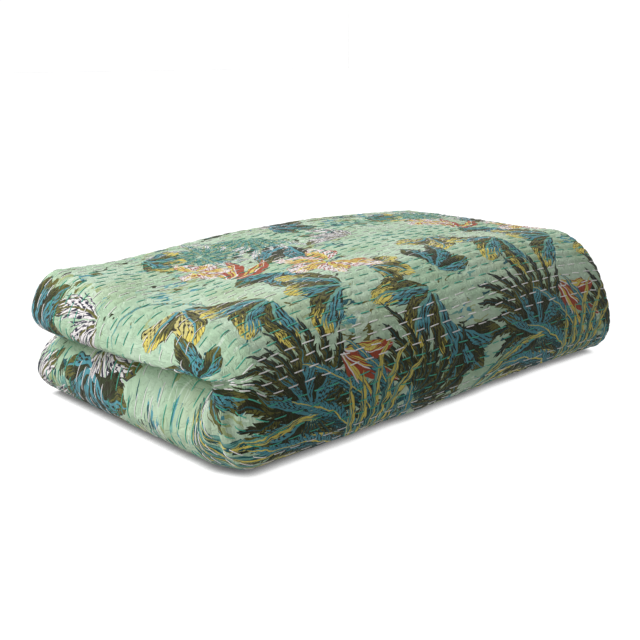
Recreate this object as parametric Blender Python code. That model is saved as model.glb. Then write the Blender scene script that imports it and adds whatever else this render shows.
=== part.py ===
"""A folded kantha quilt: one sheet of layered cotton, quilted in rows and halved five times.

Metres, +Z up. The stack rests on its bottom face at z = 0, with its origin under the
middle of its box. X runs along the stitched rows, and -Y is the front, round which the
last fold turns. On the flat sheet u runs along the rows, v across them, and w through
the cloth, with the side that ends outermost at the lowest w.
"""

import math
from typing import NamedTuple

import bmesh
import bpy
import numpy as np

QUILT_WIDTH = 2.30  # along the stitched rows
QUILT_LENGTH = 2.50  # across the stitched rows
CLOTH = 0.0026  # three layers of cotton, stitched through
LAYER_PITCH = 0.0045  # from one layer of the stack to the next
ROW_PITCH = 0.012  # between two stitched rows
PUCKER = 0.0009  # how far the cloth swells between two rows
SPAN_LINES = ((0.15, 0.5, 0.85), (0.5,))  # where a flat stretch between turns bends, along u and v
WRAP_ROUND_LEFT = 0.3  # share of the upper half of the left turn that its raised rows reach round

WIDTH, LENGTH = 0, 1
FAR_PART, NEAR_PART = 1, -1


class Fold(NamedTuple):
    """One halving: the part of the stack on one side of a line is turned over onto the rest."""

    axis: int
    at: float  # the line, as a share of the flat size
    moves: int
    squareness: float  # 2 is a round turn, more is boxier, less is sharper
    steps: int  # flats round each turn


FOLDS = (
    Fold(axis=LENGTH, at=0.503, moves=FAR_PART, squareness=2.0, steps=3),
    Fold(axis=LENGTH, at=0.250, moves=NEAR_PART, squareness=2.0, steps=4),
    Fold(axis=WIDTH, at=0.502, moves=FAR_PART, squareness=2.0, steps=4),
    Fold(axis=WIDTH, at=0.250, moves=NEAR_PART, squareness=1.66, steps=8),
    Fold(axis=LENGTH, at=0.375, moves=NEAR_PART, squareness=2.1, steps=8),
)
BACK_FOLD, RIGHT_FOLD, LEFT_FOLD, FRONT_FOLD = 1, 2, 3, 4  # rows of FOLDS that show outermost

# How the weight of the cloth settles the stack.
STACK_HEIGHT = 0.147  # at the middle of the top
HALF_LENGTH, HALF_DEPTH = 0.292, 0.165  # from the middle to the ends and to the front and back
END_DROP = 0.106  # share of the height lost at the two ends
EDGE_DROP = -0.023  # share lost at the front and back
BACK_LEVEL = 0.70  # how much of the ends' drop is missing along the back
RISE_TO_RIGHT, RISE_TO_BACK = 0.08, 0.004
CORNER_DROP = 0.134  # share lost at the right back corner
FRONT_LEAN = 0.303  # outward run of the front towards the floor, for each metre of height
LEAN_FROM, LEAN_TO = 0.05, -0.17
LEFT_LEAN = -0.069


class Push(NamedTuple):
    """A soft trough or ridge: the cloth near a line is pushed one way, and less further from it."""

    what: str
    start: tuple[float, float, float]
    end: tuple[float, float, float]
    by: tuple[float, float, float]
    width: float  # from the line to where the push is a third as strong, aside of its own way
    reach: float  # the same along its way


PUSHES = (
    Push(
        what="lower lobe full at the front",
        start=(-0.280, -0.130, 0.078), end=(-0.280, 0.000, 0.076), by=(0, 0, 0.015),
        width=0.060, reach=0.034,
    ),
    Push(
        what="lobes parted further forward",
        start=(-0.280, -0.112, 0.088), end=(-0.270, -0.112, 0.088), by=(0.004, -0.026, 0),
        width=0.030, reach=0.040,
    ),
    Push(
        what="squarer near corner",
        start=(-0.285, -0.160, 0.020), end=(-0.285, -0.160, 0.070), by=(-0.008, -0.006, 0),
        width=0.030, reach=0.030,
    ),
    Push(
        what="valley beside the near corner",
        start=(-0.295, -0.150, 0.080), end=(-0.292, -0.147, 0.018), by=(0.007, 0.002, 0),
        width=0.012, reach=0.030,
    ),
    Push(
        what="notch of the near corner",
        start=(-0.288, -0.155, 0.084), end=(-0.276, -0.172, 0.032), by=(0.005, 0.004, 0),
        width=0.011, reach=0.024,
    ),
    Push(
        what="top sunk along the back",
        start=(-0.180, 0.160, 0.130), end=(0.000, 0.160, 0.130), by=(0, 0, -0.004),
        width=0.080, reach=0.080,
    ),
)
FLOOR_HOLD = 0.03  # height within which nothing is pushed up or down


class Wave(NamedTuple):
    """A slow unevenness of the whole stack, from folding by hand."""

    by: tuple[float, float, float]
    turns: tuple[float, float, float]  # waves in each metre along x, y and z
    phase: float


WAVES = (
    Wave(by=(0, 0, 0.0012), turns=(3.1, 1.9, 0), phase=0.4),
    Wave(by=(0, 0, 0.0010), turns=(-1.7, 5.2, 0), phase=2.1),
    Wave(by=(0.0016, 0, 0), turns=(0, 0.8, 9.0), phase=0.0),
    Wave(by=(0, 0.0016, 0), turns=(2.3, 0, 8.0), phase=0.0),
)

# The two lobes of the left end are pressed together at their line of contact.
CONTACT_BACK, CONTACT_FRONT = (0.10, 0.074), (-0.12, 0.090)  # y and height of the line
PRESS = 0.85  # share of the gap that is closed
PRESS_HEIGHT = 0.026
PRESS_BEGINS, PRESS_FULL = -0.255, -0.275
PRESS_BACK, PRESS_FRONT = 0.14, 0.02


def stack_height(folds_made):
    """Height of the stack after the first of the folds."""
    return LAYER_PITCH * 2**folds_made


def half_turn(index):
    """Half the flat length that turns round a fold."""
    return math.pi * stack_height(index) / 4


def folded_once(points, index):
    """Points of the stack, with n as their height in it, after one more fold."""
    fold = FOLDS[index]
    line = fold.at * (QUILT_WIDTH, QUILT_LENGTH)[fold.axis]
    height, half = stack_height(index), half_turn(index)
    along = fold.moves * (points[:, fold.axis] - line)
    n = points[:, 2]
    angle = np.clip((along + half) * math.pi / (2 * half), 0, math.pi)
    sine, cosine = np.sin(angle), np.cos(angle)
    rounding = (np.abs(cosine) ** fold.squareness + sine**fold.squareness) ** (-1 / fold.squareness)
    radius = (height - n) * rounding
    before, beyond = along < -half, along > half
    moved = points.copy()
    moved[:, fold.axis] = line + fold.moves * np.select(
        [before, beyond], [along, -along], radius * sine - half
    )
    moved[:, 2] = np.select([before, beyond], [n, 2 * height - n], height - radius * cosine)
    return moved


def folded(points):
    """Points of the flat sheet after every fold, with the stack's middle at x = y = 0."""
    points = points + (0, 0, LAYER_PITCH / 2)
    for index in range(len(FOLDS)):
        points = folded_once(points, index)
    left, right = FOLDS[LEFT_FOLD].at, FOLDS[RIGHT_FOLD].at
    front, back = FOLDS[FRONT_FOLD].at, 2 * FOLDS[FRONT_FOLD].at - FOLDS[BACK_FOLD].at
    middle_x = (left + right) / 2 * QUILT_WIDTH
    middle_y = (front + back) / 2 * QUILT_LENGTH
    return points - (middle_x, middle_y, (LAYER_PITCH - CLOTH) / 2)


def smooth_step(start, end, values):
    share = np.clip((values - start) / (end - start), 0, 1)
    return share * share * (3 - 2 * share)


def leaned(points):
    """The stack with its crown, its drooping ends and its front leaning outward to the floor."""
    x, y, z = points.T
    full = stack_height(len(FOLDS)) - (LAYER_PITCH - CLOTH)
    across, deep = x / HALF_LENGTH, y / HALF_DEPTH
    height = STACK_HEIGHT / full * (
        1 + RISE_TO_RIGHT * across + RISE_TO_BACK * deep
        - END_DROP * across**2 * (1 - BACK_LEVEL * np.clip(deep, 0, 1))
        - EDGE_DROP * deep**2
        - CORNER_DROP * np.clip(across, 0, 1) ** 2 * np.clip(deep, 0, 1)
    )
    front = smooth_step(LEAN_FROM, LEAN_TO, y)
    left = smooth_step(0, -HALF_LENGTH, x)
    middle = z - full / 2
    return np.stack([x + LEFT_LEAN * middle * left, y + FRONT_LEAN * middle * front, z * height], 1)


def pushed(points):
    """The stack with its troughs and ridges."""
    for push in PUSHES:
        start, end, by = np.array(push.start), np.array(push.end), np.array(push.by)
        line = end - start
        share = np.clip((points - start) @ line / (line @ line), 0, 1)
        away = points - start - share[:, None] * line
        way = by / np.linalg.norm(by)
        depth = away @ way
        aside = np.linalg.norm(away - depth[:, None] * way, axis=1)
        strength = np.exp(-((aside / push.width) ** 2) - (depth / push.reach) ** 2)
        points = points + held_to_floor(strength[:, None] * by, points)
    return points


def held_to_floor(move, points):
    """A move of the points, with none up or down where the stack rests on the floor."""
    off_floor = smooth_step(0, FLOOR_HOLD, points[:, 2])
    return move * np.stack([np.ones_like(off_floor), np.ones_like(off_floor), off_floor], 1)


def waved(points):
    """The stack with its slow unevenness."""
    moved = points
    for wave in WAVES:
        crest = np.sin(points @ np.array(wave.turns) * 2 * math.pi + wave.phase)
        moved = moved + held_to_floor(crest[:, None] * np.array(wave.by), points)
    return moved


def pressed(points):
    """The stack with the lobes of its left end closed on each other, less so at the back."""
    x, y, z = points.T
    (back, back_height), (front, front_height) = CONTACT_BACK, CONTACT_FRONT
    contact = np.interp(y, [front, back], [front_height, back_height])
    strength = (
        PRESS
        * smooth_step(PRESS_BEGINS, PRESS_FULL, x)
        * smooth_step(PRESS_BACK, PRESS_FRONT, y)
    )
    above = z - contact
    closed = above * (1 - strength * np.exp(-((above / PRESS_HEIGHT) ** 2)))
    return np.stack([x, y, contact + closed], 1)


def settled(points):
    return pressed(pushed(waved(leaned(folded(points)))))


def places_on_flat(index):
    """Every line on the flat sheet that ends at this fold, found by opening the earlier folds."""
    axis = FOLDS[index].axis
    places = [FOLDS[index].at]
    for earlier in reversed(FOLDS[:index]):
        if earlier.axis == axis:
            places += [2 * earlier.at - place for place in places]
    return [place * (QUILT_WIDTH, QUILT_LENGTH)[axis] for place in places]


def grid_lines(axis, size):
    """Where the flat sheet is divided: closely round each turn, and widely between them."""
    lines = [np.array([0.0]), np.array([size])]
    for index, fold in enumerate(FOLDS):
        if fold.axis == axis:
            turn = np.linspace(-half_turn(index), half_turn(index), fold.steps + 1)
            lines += [place + turn for place in places_on_flat(index)]
    lines.sort(key=lambda turn: turn[0])
    shares = np.array(SPAN_LINES[axis])
    spans = [before[-1] + shares * (after[0] - before[-1]) for before, after in zip(lines, lines[1:])]
    return np.sort(np.concatenate(lines + spans))


def flat_sheet(mesh):
    """The quilt laid flat, as a grid with its thickness."""
    u_lines = grid_lines(WIDTH, QUILT_WIDTH)
    v_lines = grid_lines(LENGTH, QUILT_LENGTH)
    steps_u, steps_v = len(u_lines) - 1, len(v_lines) - 1
    bmesh.ops.create_grid(mesh, x_segments=steps_u, y_segments=steps_v, size=0.5)
    for vert in mesh.verts:
        vert.co.x = u_lines[round((vert.co.x + 0.5) * steps_u)]
        vert.co.y = v_lines[round((vert.co.y + 0.5) * steps_v)]
        vert.co.z = CLOTH / 2
    bmesh.ops.solidify(mesh, geom=mesh.faces[:], thickness=CLOTH)
    bmesh.ops.recalc_face_normals(mesh, faces=mesh.faces[:])


class Wrap(NamedTuple):
    """The part of the sheet that ends outermost, over the top and down the front, with its rows raised."""

    left: float
    right: float
    back: float
    front: float


def outer_wrap():
    return Wrap(
        left=FOLDS[LEFT_FOLD].at * QUILT_WIDTH - half_turn(LEFT_FOLD) * WRAP_ROUND_LEFT,
        right=FOLDS[RIGHT_FOLD].at * QUILT_WIDTH,
        back=FOLDS[BACK_FOLD].at * QUILT_LENGTH - half_turn(BACK_FOLD),
        front=FOLDS[FRONT_FOLD].at * QUILT_LENGTH + half_turn(FRONT_FOLD),
    )


def length_from_back(v):
    """Length over the outer side of the settled stack, from the back of the top to each v."""
    wrap = outer_wrap()
    samples = np.linspace(wrap.back, wrap.front, 600)
    middle = np.full_like(samples, (wrap.left + wrap.right) / 2)
    path = settled(np.stack([middle, samples, np.full_like(samples, -CLOTH / 2)], 1))
    steps = np.linalg.norm(np.diff(path, axis=0), axis=1)
    return np.interp(v, samples, np.concatenate([[0], np.cumsum(steps)]))


def divide_rows(mesh):
    """Divides the outer side of the wrap at each stitched row and midway between two rows."""
    wrap = outer_wrap()
    samples = np.linspace(wrap.back, wrap.front, 2000)
    lengths = length_from_back(samples)
    for length in np.arange(ROW_PITCH / 2, lengths[-1], ROW_PITCH / 2):
        v = float(np.interp(length, lengths, samples))
        faces = [
            face
            for face in mesh.faces
            if face.normal.z < -0.5
            and wrap.left < face.calc_center_median().x < wrap.right
            and min(vert.co.y for vert in face.verts) < v < max(vert.co.y for vert in face.verts)
        ]
        edges = {edge for face in faces for edge in face.edges}
        verts = {vert for face in faces for vert in face.verts}
        geometry = [*faces, *edges, *verts]
        bmesh.ops.bisect_plane(
            mesh, geom=geometry, dist=1e-5, plane_co=(0, v, 0), plane_no=(0, 1, 0)
        )


def puckered(points):
    """The flat sheet, drawn in at each stitched row and swelling between them on its outer side."""
    wrap = outer_wrap()
    u, v, w = points.T
    edge = 2 * ROW_PITCH
    strength = (
        smooth_step(wrap.left, wrap.left + edge, u)
        * smooth_step(wrap.right, wrap.right - edge / 2, u)
        * smooth_step(wrap.back, wrap.back + edge / 2, v)
        * smooth_step(wrap.front, wrap.front - edge / 2, v)
        * (w < 0)
    )
    phase = length_from_back(v) * 2 * math.pi / ROW_PITCH
    return points + np.stack([0 * u, 0 * v, strength * np.cos(phase) * PUCKER / 2], 1)


def quilted_cotton():
    """Soft, dull printed cotton, in the mean colour of its print."""
    material = bpy.data.materials.new("quilted cotton")
    material.use_nodes = True
    shader = material.node_tree.nodes["Principled BSDF"]
    shader.inputs["Base Color"].default_value = (0.22, 0.33, 0.24, 1)
    shader.inputs["Roughness"].default_value = 0.9
    shader.inputs["Metallic"].default_value = 0.0
    return material


def quilt():
    """The whole quilt, as one folded solid."""
    mesh = bmesh.new()
    flat_sheet(mesh)
    divide_rows(mesh)
    places = settled(puckered(np.array([vert.co for vert in mesh.verts])))
    low, high = places.min(axis=0), places.max(axis=0)
    places -= ((low[0] + high[0]) / 2, (low[1] + high[1]) / 2, low[2])
    for vert, place in zip(mesh.verts, places):
        vert.co = place
    bmesh.ops.triangulate(mesh, faces=mesh.faces[:])
    data = bpy.data.meshes.new("quilt")
    mesh.to_mesh(data)
    mesh.free()
    data.shade_smooth()
    data.materials.append(quilted_cotton())
    return bpy.data.objects.new("quilt", data)


def main():
    for thing in list(bpy.data.objects):
        bpy.data.objects.remove(thing)
    parts = bpy.data.collections.new("folded kantha quilt")
    bpy.context.scene.collection.children.link(parts)
    parts.objects.link(quilt())


main()
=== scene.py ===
"""The looks of a folded kantha quilt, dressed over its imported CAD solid.

Metres, +Z up, in the frame of the CAD part. X runs along the stitched rows and -Y is the
front, round which the last fold turns. On the flat cloth u runs along the rows, v across
them and w through the cloth, with the side that ends outermost at the lowest w.
"""

import logging
import math
from collections.abc import Mapping, Sequence
from dataclasses import dataclass, field
from enum import Enum
from itertools import pairwise

import bpy
import numpy as np
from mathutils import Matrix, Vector
from mathutils.bvhtree import BVHTree


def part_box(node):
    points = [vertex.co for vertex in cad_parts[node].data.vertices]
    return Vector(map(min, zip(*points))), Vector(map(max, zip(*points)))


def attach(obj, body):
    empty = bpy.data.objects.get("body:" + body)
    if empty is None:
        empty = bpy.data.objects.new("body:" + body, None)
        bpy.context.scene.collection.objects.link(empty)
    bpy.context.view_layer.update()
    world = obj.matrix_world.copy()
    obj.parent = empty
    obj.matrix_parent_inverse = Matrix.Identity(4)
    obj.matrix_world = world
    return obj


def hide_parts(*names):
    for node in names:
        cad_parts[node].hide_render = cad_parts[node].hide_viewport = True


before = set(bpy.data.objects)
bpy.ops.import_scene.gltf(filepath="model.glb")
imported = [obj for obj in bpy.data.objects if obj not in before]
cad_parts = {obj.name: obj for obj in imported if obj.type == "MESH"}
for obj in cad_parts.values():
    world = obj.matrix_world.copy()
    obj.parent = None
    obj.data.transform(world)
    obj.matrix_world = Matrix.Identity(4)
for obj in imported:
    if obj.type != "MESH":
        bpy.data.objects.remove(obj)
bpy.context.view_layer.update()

LOG = logging.getLogger("folded_quilt")
MM = 0.001
HAIR = 1e-9  # metres, less than anything here
PRINT_MAP = "cloth"  # the UV map in metres over the cloth
BAKE_MAP = "OFBake"  # the packed map, for a bake of the print
BAKE_WRAP = 0.80  # share of that map's height for the side that shows
BAKE_EDGE = 0.004

Points = np.ndarray  # one row of x, y, z (or u, v, w) for each point, in metres
Socket = bpy.types.NodeSocket
Tree = bpy.types.NodeTree


class Axis(Enum):
    """The two directions of the flat cloth."""

    ALONG_ROWS = 0
    ACROSS_ROWS = 1


class Part(Enum):
    """Which part of the stack a fold turns over onto the rest."""

    FAR = 1
    NEAR = -1


class ThreadColour(Enum):
    """The two threads of the running stitch."""

    WHITE = "F5F2F0"
    TEAL = "40B598"


def linear(hex_colour: str) -> tuple[float, float, float, float]:
    """Turns a colour from sRGB to the linear values that Blender works in.

    Args:
        hex_colour: six hex digits, red first.

    Returns:
        Linear red, green, blue and an alpha of 1.
    """
    channels = (int(hex_colour[at : at + 2], 16) / 255 for at in (0, 2, 4))
    return (*(c / 12.92 if c <= 0.04045 else ((c + 0.055) / 1.055) ** 2.4 for c in channels), 1.0)


def smooth_step(start: float, end: float, values: np.ndarray) -> np.ndarray:
    """Rises from 0 at start to 1 at end, with no corner at either.

    Args:
        start: where the rise begins.
        end: where it is over. It may be the lower of the two.
        values: where to work it out.

    Returns:
        The share risen at each value.
    """
    share = np.clip((values - start) / (end - start), 0, 1)
    return share * share * (3 - 2 * share)


def put_in_scene(name: str, data: bpy.types.ID) -> bpy.types.Object:
    """Puts a new object in the scene.

    Args:
        name: the object's name.
        data: its mesh, lamp or camera.

    Returns:
        The object.
    """
    placed = bpy.data.objects.new(name, data)
    bpy.context.scene.collection.objects.link(placed)
    return placed


@dataclass(frozen=True)
class Fold:
    """One halving of the stack about a line."""

    axis: Axis
    at: float  # the line, as a share of the flat size
    moves: Part
    squareness: float  # 2 is a round turn, more is boxier, less is sharper


@dataclass(frozen=True)
class Push:
    """A soft trough or ridge: the cloth near a line is pushed one way, and less further off."""

    start: tuple[float, float, float]
    end: tuple[float, float, float]
    by: tuple[float, float, float]
    width: float  # from the line to where the push is a third as strong, aside of its own way
    reach: float  # the same along its way

    def move(self, points: Points) -> Points:
        """Works out how far this push moves each point.

        Args:
            points: places in the settled stack.

        Returns:
            One move for each point.
        """
        start, by = np.array(self.start), np.array(self.by)
        line = np.array(self.end) - start
        share = np.clip((points - start) @ line / (line @ line), 0, 1)
        away = points - start - share[:, None] * line
        way = by / np.linalg.norm(by)
        depth = away @ way
        aside = np.linalg.norm(away - depth[:, None] * way, axis=1)
        strength = np.exp(-((aside / self.width) ** 2) - (depth / self.reach) ** 2)
        return strength[:, None] * by


@dataclass(frozen=True)
class Wave:
    """A slow unevenness of the whole stack, from folding by hand."""

    by: tuple[float, float, float]
    turns: tuple[float, float, float]  # waves in each metre along x, y and z
    phase: float

    def move(self, points: Points) -> Points:
        """Works out how far this wave moves each of the given places in the stack."""
        crest = np.sin(points @ np.array(self.turns) * 2 * math.pi + self.phase)
        return crest[:, None] * np.array(self.by)


@dataclass(frozen=True)
class Wrap:
    """The part of the flat cloth that ends outermost in the stack, with the turns round it."""

    left: float
    right: float
    back: float
    front: float

    def fade(self, points: Points, edge: float) -> np.ndarray:
        """Works out how far inside the wrap each flat point lies.

        Args:
            points: places on the flat cloth.
            edge: the width over which the wrap's border fades, in metres.

        Returns:
            1 well inside the wrap and 0 outside it.
        """
        u, v = points[:, 0], points[:, 1]
        return (
            smooth_step(self.left, self.left + edge, u)
            * smooth_step(self.right, self.right - edge, u)
            * smooth_step(self.back, self.back + edge, v)
            * smooth_step(self.front, self.front - edge, v)
        )


@dataclass(frozen=True)
class FoldedStack:
    """How the flat cloth is folded, and how its own weight then settles the stack."""

    width: float = 2.30  # along the rows
    length: float = 2.50  # across the rows
    cloth: float = 0.0026
    layer_pitch: float = 0.0045
    folds: tuple[Fold, ...] = (
        Fold(axis=Axis.ACROSS_ROWS, at=0.503, moves=Part.FAR, squareness=2.0),
        Fold(axis=Axis.ACROSS_ROWS, at=0.250, moves=Part.NEAR, squareness=2.0),
        Fold(axis=Axis.ALONG_ROWS, at=0.502, moves=Part.FAR, squareness=2.0),
        Fold(axis=Axis.ALONG_ROWS, at=0.250, moves=Part.NEAR, squareness=1.66),
        Fold(axis=Axis.ACROSS_ROWS, at=0.375, moves=Part.NEAR, squareness=2.1),
    )
    first_fold: int = 0
    back_fold: int = 1
    right_fold: int = 2
    left_fold: int = 3
    front_fold: int = 4
    height: float = 0.147  # at the middle of the top
    half_length: float = 0.292
    half_depth: float = 0.165
    end_drop: float = 0.106  # share of the height lost at the two ends
    edge_drop: float = -0.023  # share lost at the front and back
    back_level: float = 0.70  # how much of the ends' drop is missing along the back
    rise_to_right: float = 0.08
    rise_to_back: float = 0.004
    corner_drop: float = 0.134  # share lost at the right back corner
    front_lean: float = 0.303  # outward run of the front for each metre of height
    lean_from: float = 0.05
    lean_to: float = -0.17
    left_lean: float = -0.069
    pushes: tuple[Push, ...] = (  # each with its start, end, by, width and reach
        # The lower lobe is full at the front.
        Push((-0.280, -0.130, 0.078), (-0.280, 0.000, 0.076), (0, 0, 0.015), 0.060, 0.034),
        # The lobes part further forward.
        Push((-0.280, -0.112, 0.088), (-0.270, -0.112, 0.088), (0.004, -0.026, 0), 0.030, 0.040),
        # The near corner is squarer than a plain turn.
        Push((-0.285, -0.160, 0.020), (-0.285, -0.160, 0.070), (-0.003, 0.000, 0), 0.030, 0.030),
        # A valley runs down beside the near corner, and a notch cuts into it.
        Push((-0.295, -0.150, 0.080), (-0.292, -0.147, 0.018), (0.007, 0.002, 0), 0.012, 0.030),
        Push((-0.288, -0.155, 0.084), (-0.276, -0.172, 0.032), (0.005, 0.004, 0), 0.011, 0.024),
        # The left back corner is full, and the top beside it has sunk along the back.
        Push((-0.270, 0.060, 0.135), (-0.270, 0.160, 0.135), (-0.002, 0, 0.008), 0.060, 0.060),
        Push((-0.180, 0.160, 0.130), (0.000, 0.160, 0.130), (0, 0, -0.004), 0.080, 0.080),
    )
    waves: tuple[Wave, ...] = (
        Wave(by=(0, 0, 0.0012), turns=(3.1, 1.9, 0), phase=0.4),
        Wave(by=(0, 0, 0.0010), turns=(-1.7, 5.2, 0), phase=2.1),
        Wave(by=(0.0016, 0, 0), turns=(0, 0.8, 9.0), phase=0.0),
        Wave(by=(0, 0.0016, 0), turns=(2.3, 0, 8.0), phase=0.0),
    )
    droop: tuple[float, float] = (0.34, 0.60)  # share of height lost low in each lobe
    droop_reach: float = 0.032  # height over which that loss fades
    droop_left: tuple[float, float] = (-0.16, -0.26)  # x where it begins and is full
    droop_front: tuple[float, float] = (-0.08, -0.15)  # y where it begins and is full
    floor_hold: float = 0.03  # height within which nothing is pushed up or down
    contact_back: tuple[float, float] = (0.10, 0.074)  # y and height of the lobes' contact
    contact_front: tuple[float, float] = (-0.12, 0.090)
    press: float = 0.85  # share of the gap between the lobes that is closed
    press_height: float = 0.026
    press_begins: float = -0.255
    press_full: float = -0.275
    press_back: float = 0.14
    press_front: float = 0.02

    def size(self, axis: Axis) -> float:
        """Gives the flat cloth's size along an axis."""
        return (self.width, self.length)[axis.value]

    def stack_height(self, folds_made: int) -> float:
        """Gives the height of the stack after the first of the folds."""
        return self.layer_pitch * 2**folds_made

    def half_turn(self, index: int) -> float:
        """Gives half the flat length that turns round a fold."""
        return math.pi * self.stack_height(index) / 4

    def wrap(self) -> Wrap:
        """Finds the part of the cloth that ends outermost, with the whole turns round it.

        Returns:
            The wrap, in metres on the flat cloth.
        """
        return Wrap(
            left=self.folds[self.left_fold].at * self.width - self.half_turn(self.left_fold),
            right=self.folds[self.right_fold].at * self.width + self.half_turn(self.right_fold),
            back=self.folds[self.back_fold].at * self.length - self.half_turn(self.back_fold),
            front=self.folds[self.first_fold].at * self.length + self.half_turn(self.first_fold),
        )

    def places_on_flat(self, index: int) -> list[float]:
        """Finds every line of the flat cloth that ends at a fold, by opening the earlier folds.

        Args:
            index: which fold.

        Returns:
            The lines, in metres.
        """
        axis = self.folds[index].axis
        places = [self.folds[index].at]
        for earlier in reversed(self.folds[:index]):
            if earlier.axis is axis:
                places += [2 * earlier.at - place for place in places]
        return [place * self.size(axis) for place in places]

    def folded_once(self, points: Points, index: int) -> Points:
        """Makes one more fold.

        Args:
            points: places in the stack, the last column being the height in it.
            index: which fold.

        Returns:
            The places after it.
        """
        fold = self.folds[index]
        way, column = fold.moves.value, fold.axis.value
        line = fold.at * self.size(fold.axis)
        height, half = self.stack_height(index), self.half_turn(index)
        along = way * (points[:, column] - line)
        n = points[:, 2]
        angle = np.clip((along + half) * math.pi / (2 * half), 0, math.pi)
        sine, cosine = np.sin(angle), np.cos(angle)
        square = fold.squareness
        rounding = (np.abs(cosine) ** square + sine**square) ** (-1 / square)
        radius = (height - n) * rounding
        before, beyond = along < -half, along > half
        moved = points.copy()
        moved[:, column] = line + way * np.select(
            [before, beyond], [along, -along], radius * sine - half
        )
        moved[:, 2] = np.select([before, beyond], [n, 2 * height - n], height - radius * cosine)
        return moved

    def folded(self, points: Points) -> Points:
        """Makes every fold, and sets the stack's middle at x = y = 0.

        Args:
            points: places on the flat cloth.

        Returns:
            Their places in the stack, before it settles.
        """
        points = points + (0, 0, self.layer_pitch / 2)
        for index in range(len(self.folds)):
            points = self.folded_once(points, index)
        left, right = self.folds[self.left_fold].at, self.folds[self.right_fold].at
        front = self.folds[self.front_fold].at
        back = 2 * front - self.folds[self.back_fold].at
        middle = ((left + right) / 2 * self.width, (front + back) / 2 * self.length)
        return points - (*middle, (self.layer_pitch - self.cloth) / 2)

    def drooped(self, points: Points) -> Points:
        """Lets the left lobes and the front hang fuller at their lower edges.

        Args:
            points: places in the folded stack.

        Returns:
            The same places, lowered just over the floor and just over the upper lobe's edge.
        """
        x, y, z = points.T
        left, front = smooth_step(*self.droop_left, x), smooth_step(*self.droop_front, y)
        upper_lobe = self.stack_height(self.front_fold)
        strengths = (np.maximum(left, front), left)
        for level, droop, strength in zip((0, upper_lobe), self.droop, strengths):
            above = np.maximum(z - level, 0)
            z = z - droop * strength * above * np.exp(-above / self.droop_reach)
        return np.stack([x, y, z], 1)

    def leaned(self, points: Points) -> Points:
        """Gives the stack its crown, drooping ends and a front that leans out to the floor.

        Args:
            points: places in the folded stack.

        Returns:
            Their places in the leaning one.
        """
        x, y, z = points.T
        full = self.stack_height(len(self.folds)) - (self.layer_pitch - self.cloth)
        across, deep = x / self.half_length, y / self.half_depth
        height = self.height / full * (
            1 + self.rise_to_right * across + self.rise_to_back * deep
            - self.end_drop * across**2 * (1 - self.back_level * np.clip(deep, 0, 1))
            - self.edge_drop * deep**2
            - self.corner_drop * np.clip(across, 0, 1) ** 2 * np.clip(deep, 0, 1)
        )
        front = smooth_step(self.lean_from, self.lean_to, y)
        left = smooth_step(0, -self.half_length, x)
        middle = z - full / 2
        return np.stack(
            [x + self.left_lean * middle * left, y + self.front_lean * middle * front, z * height],
            axis=1,
        )

    def held_to_floor(self, move: Points, points: Points) -> Points:
        """Keeps a move from lifting or sinking the cloth where the stack rests on the floor."""
        off_floor = smooth_step(0, self.floor_hold, points[:, 2])
        return move * np.stack([np.ones_like(off_floor), np.ones_like(off_floor), off_floor], 1)

    def pressed(self, points: Points) -> Points:
        """Closes the two lobes of the left end on each other, less so at the back.

        Args:
            points: places in the stack.

        Returns:
            The same places, nearer to the lobes' contact.
        """
        x, y, z = points.T
        (back, back_height), (front, front_height) = self.contact_back, self.contact_front
        contact = np.interp(y, [front, back], [front_height, back_height])
        strength = (
            self.press
            * smooth_step(self.press_begins, self.press_full, x)
            * smooth_step(self.press_back, self.press_front, y)
        )
        above = z - contact
        closed = above * (1 - strength * np.exp(-((above / self.press_height) ** 2)))
        return np.stack([x, y, contact + closed], 1)

    def settled(self, points: Points) -> Points:
        """Folds the flat cloth and settles the stack.

        Args:
            points: places on the flat cloth.

        Returns:
            Their places in the settled stack.
        """
        points = self.leaned(self.drooped(self.folded(points)))
        moved = points
        for wave in self.waves:
            moved = moved + self.held_to_floor(wave.move(points), points)
        points = moved
        for push in self.pushes:
            points = points + self.held_to_floor(push.move(points), points)
        return self.pressed(points)


@dataclass(frozen=True)
class Ruler:
    """Length over the settled stack's outer side, against the place on the flat cloth."""

    places: np.ndarray
    lengths: np.ndarray

    def length_at(self, places: np.ndarray) -> np.ndarray:
        """Gives the length over the outside at each flat place."""
        return np.interp(places, self.places, self.lengths)

    def place_at(self, lengths: np.ndarray) -> np.ndarray:
        """Gives the flat place at each length over the outside."""
        return np.interp(lengths, self.lengths, self.places)


@dataclass(frozen=True)
class LatticeNoise:
    """A smooth random height over the cloth, the same in every run."""

    cell: tuple[float, float]  # metres along and across the rows
    seed: int
    table_side: int = 512

    def height(self, along: np.ndarray, across: np.ndarray) -> np.ndarray:
        """Works out the height, from -1 to 1.

        Args:
            along: lengths along the rows.
            across: lengths across the rows.

        Returns:
            One height for each pair.
        """
        table = np.random.default_rng(self.seed).uniform(-1, 1, (self.table_side,) * 2)
        x, y = along / self.cell[0], across / self.cell[1]
        left, low = np.floor(x).astype(int), np.floor(y).astype(int)
        share_x, share_y = smooth_step(0, 1, x - left), smooth_step(0, 1, y - low)

        def corner(right: int, up: int) -> np.ndarray:
            """Looks up one corner of each place's cell."""
            return table[(left + right) % self.table_side, (low + up) % self.table_side]

        lower = corner(0, 0) * (1 - share_x) + corner(1, 0) * share_x
        upper = corner(0, 1) * (1 - share_x) + corner(1, 1) * share_x
        return lower * (1 - share_y) + upper * share_y


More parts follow.
